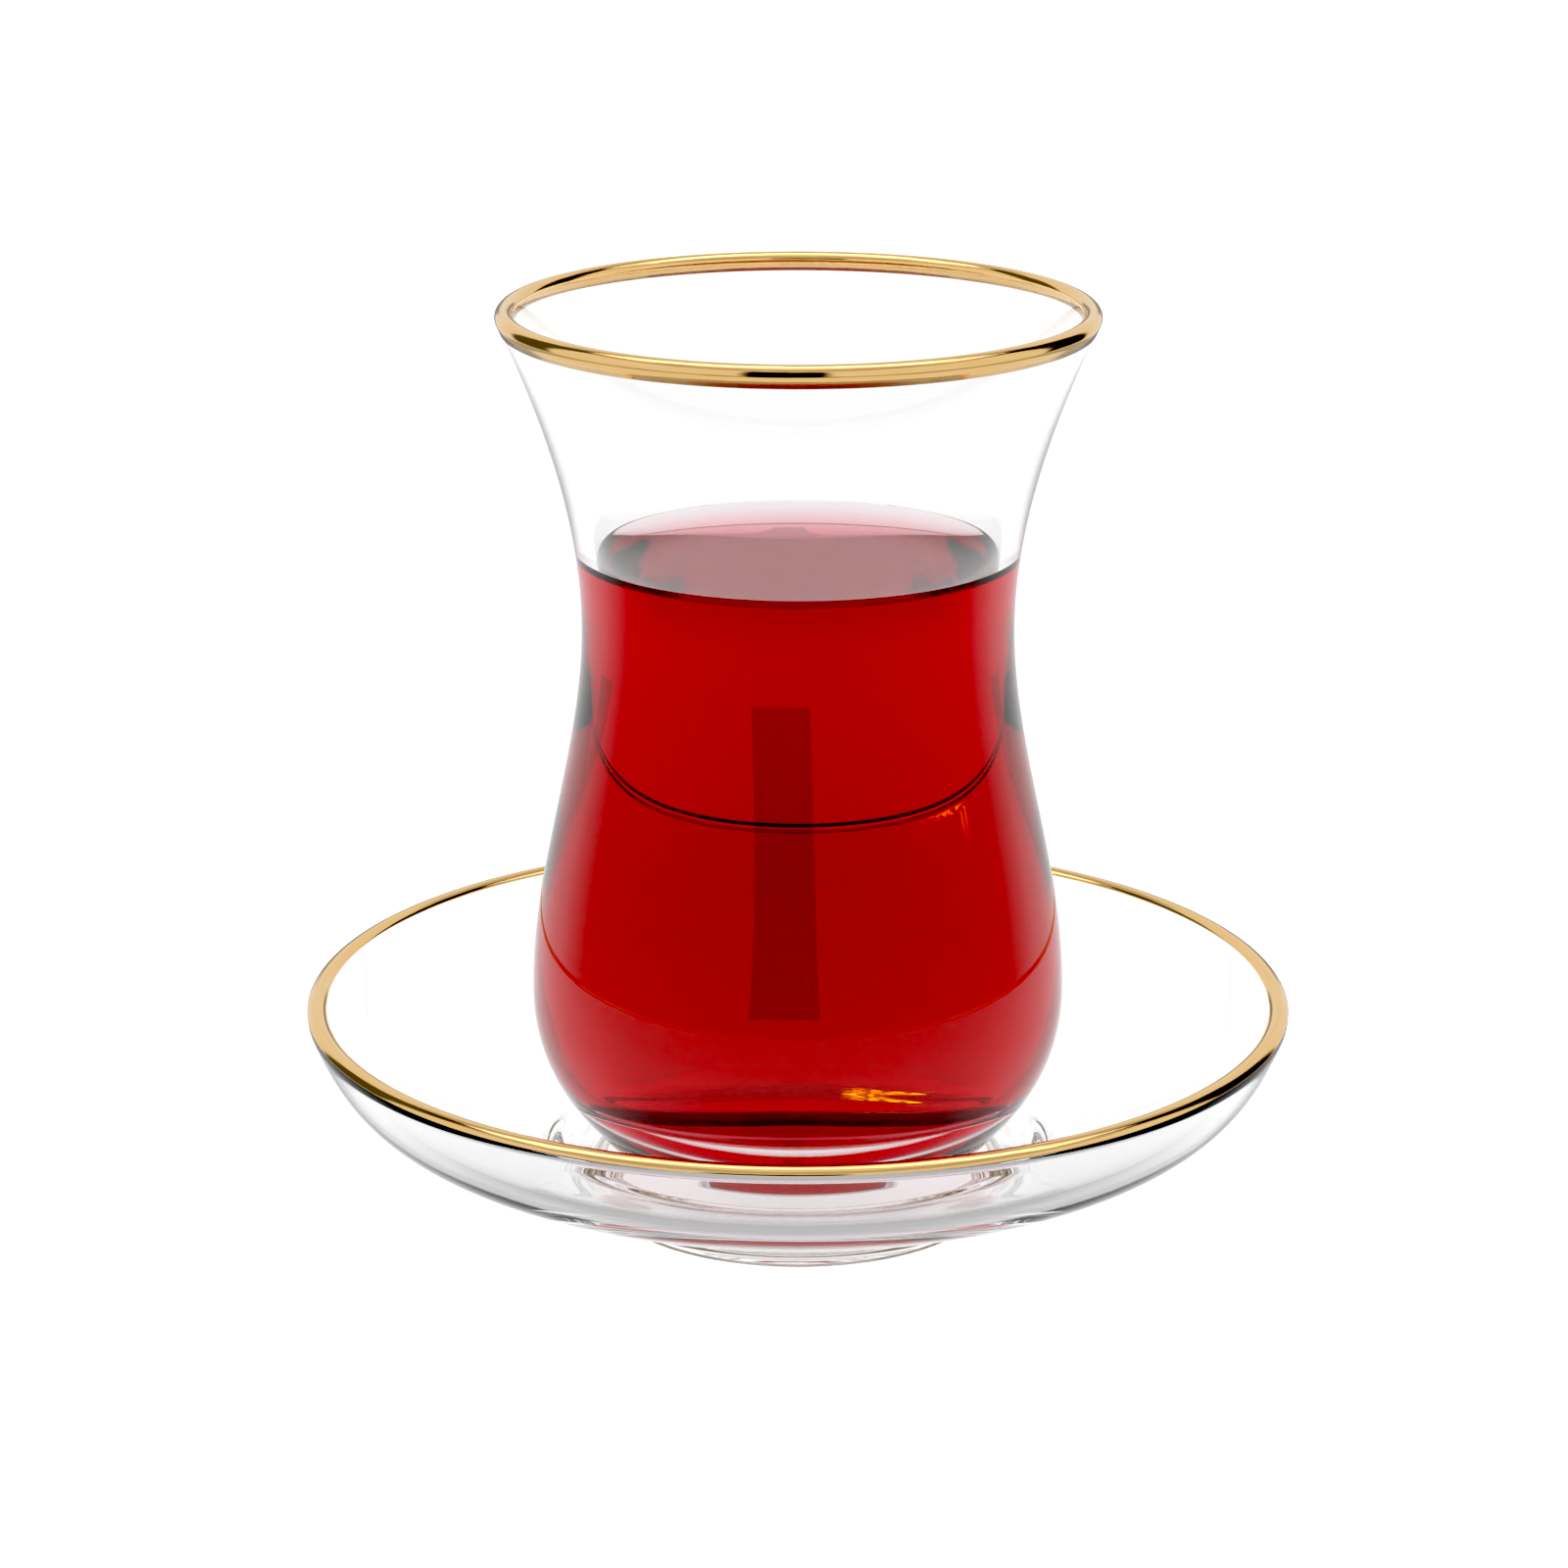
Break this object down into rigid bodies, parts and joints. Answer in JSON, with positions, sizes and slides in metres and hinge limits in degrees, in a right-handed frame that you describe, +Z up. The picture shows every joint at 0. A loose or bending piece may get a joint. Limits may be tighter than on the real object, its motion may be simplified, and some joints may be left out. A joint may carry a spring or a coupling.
{
  "type": "turkish tea glass",
  "caption": "Tulip-waisted glass with a gilded lip, filled with red tea, standing on a clear footed saucer with a gilded rim.",
  "frame": {"origin": "centre of the saucer's foot, on the surface that it stands on", "axes": "+Z up along the common axis of the glass and saucer, which are round about it"},
  "size_m": [0.1102, 0.1102, 0.1028],
  "materials": {
    "clear_glass": "polished",
    "tea": "clear liquid",
    "gilding": "bright gold layer"
  },
  "bodies": {
    "root": {"tea_glass": "clear_glass", "glass_lip_gold": "gilding", "tea": "tea", "saucer": "clear_glass", "saucer_rim_gold": "gilding"}
  },
  "joints": []
}
